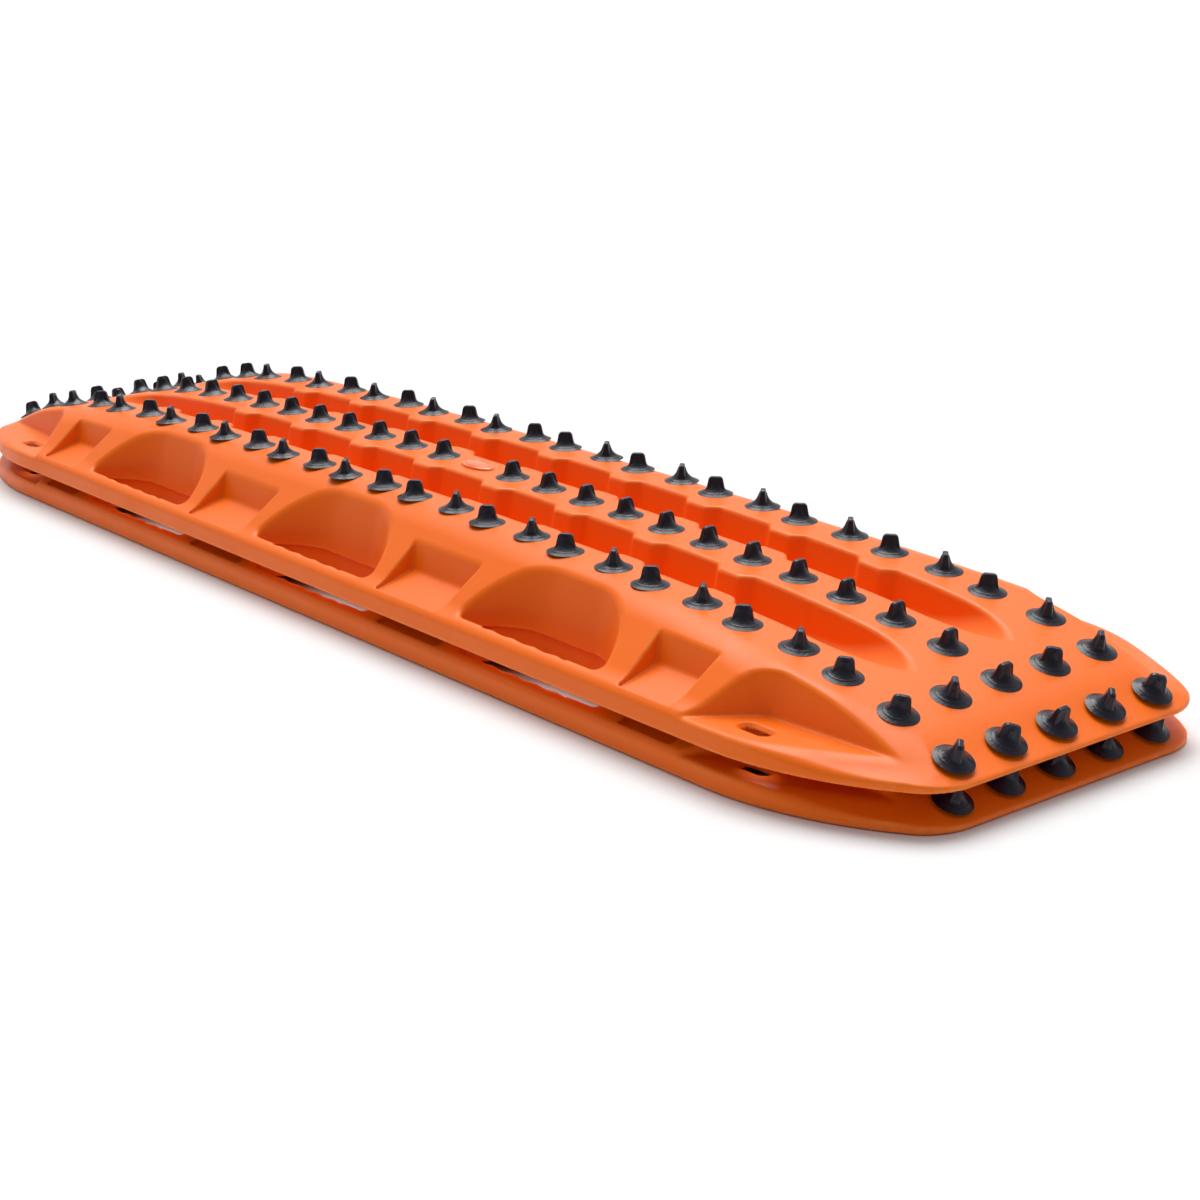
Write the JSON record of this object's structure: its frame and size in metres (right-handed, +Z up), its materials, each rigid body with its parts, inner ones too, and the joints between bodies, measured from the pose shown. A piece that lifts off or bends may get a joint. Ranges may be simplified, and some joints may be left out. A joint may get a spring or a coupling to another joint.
{
  "type": "vehicle traction board pair",
  "caption": "Nested pair of moulded traction boards with screwed-on studs, side hand holes and tie-down slots; the top board lifts off the bottom one.",
  "frame": {"origin": "on the ground plane under the middle of the nested pair", "axes": "+X along the boards, +Z up, so that -Y is the side nearer the picture's camera"},
  "size_m": [1.15, 0.322, 0.0934],
  "materials": {
    "moulded_board": "satin moulded nylon, bright orange",
    "badge": "glossy orange, no marking",
    "stud": "satin blue-black",
    "washer": "zinc plated",
    "screw": "zinc plated"
  },
  "bodies": {
    "lower_board": {"lower_badge": "badge", "lower_board_shell": "moulded_board", "lower_far_rail_front_screws": "screw", "lower_far_rail_front_studs": "stud", "lower_far_rail_front_washers": "washer", "lower_far_rail_rear_screws": "screw", "lower_far_rail_rear_studs": "stud", "lower_far_rail_rear_washers": "washer", "lower_front_nose_screws": "screw", "lower_front_nose_studs": "stud", "lower_front_nose_washers": "washer", "lower_middle_rail_front_screws": "screw", "lower_middle_rail_front_studs": "stud", "lower_middle_rail_front_washers": "washer", "lower_middle_rail_rear_screws": "screw", "lower_middle_rail_rear_studs": "stud", "lower_middle_rail_rear_washers": "washer", "lower_near_rail_front_screws": "screw", "lower_near_rail_front_studs": "stud", "lower_near_rail_front_washers": "washer", "lower_near_rail_rear_screws": "screw", "lower_near_rail_rear_studs": "stud", "lower_near_rail_rear_washers": "washer", "lower_rear_nose_screws": "screw", "lower_rear_nose_studs": "stud", "lower_rear_nose_washers": "washer"},
    "upper_board": {"upper_badge": "badge", "upper_board_shell": "moulded_board", "upper_far_rail_front_screws": "screw", "upper_far_rail_front_studs": "stud", "upper_far_rail_front_washers": "washer", "upper_far_rail_rear_screws": "screw", "upper_far_rail_rear_studs": "stud", "upper_far_rail_rear_washers": "washer", "upper_front_nose_screws": "screw", "upper_front_nose_studs": "stud", "upper_front_nose_washers": "washer", "upper_middle_rail_front_screws": "screw", "upper_middle_rail_front_studs": "stud", "upper_middle_rail_front_washers": "washer", "upper_middle_rail_rear_screws": "screw", "upper_middle_rail_rear_studs": "stud", "upper_middle_rail_rear_washers": "washer", "upper_near_rail_front_screws": "screw", "upper_near_rail_front_studs": "stud", "upper_near_rail_front_washers": "washer", "upper_near_rail_rear_screws": "screw", "upper_near_rail_rear_studs": "stud", "upper_near_rail_rear_washers": "washer", "upper_rear_nose_screws": "screw", "upper_rear_nose_studs": "stud", "upper_rear_nose_washers": "washer"}
  },
  "joints": [
    {"name": "upper_board_lift", "type": "slide", "parent": "lower_board", "child": "upper_board", "axis": [0, 0, 1], "range_m": [0, 0.12]}
  ]
}
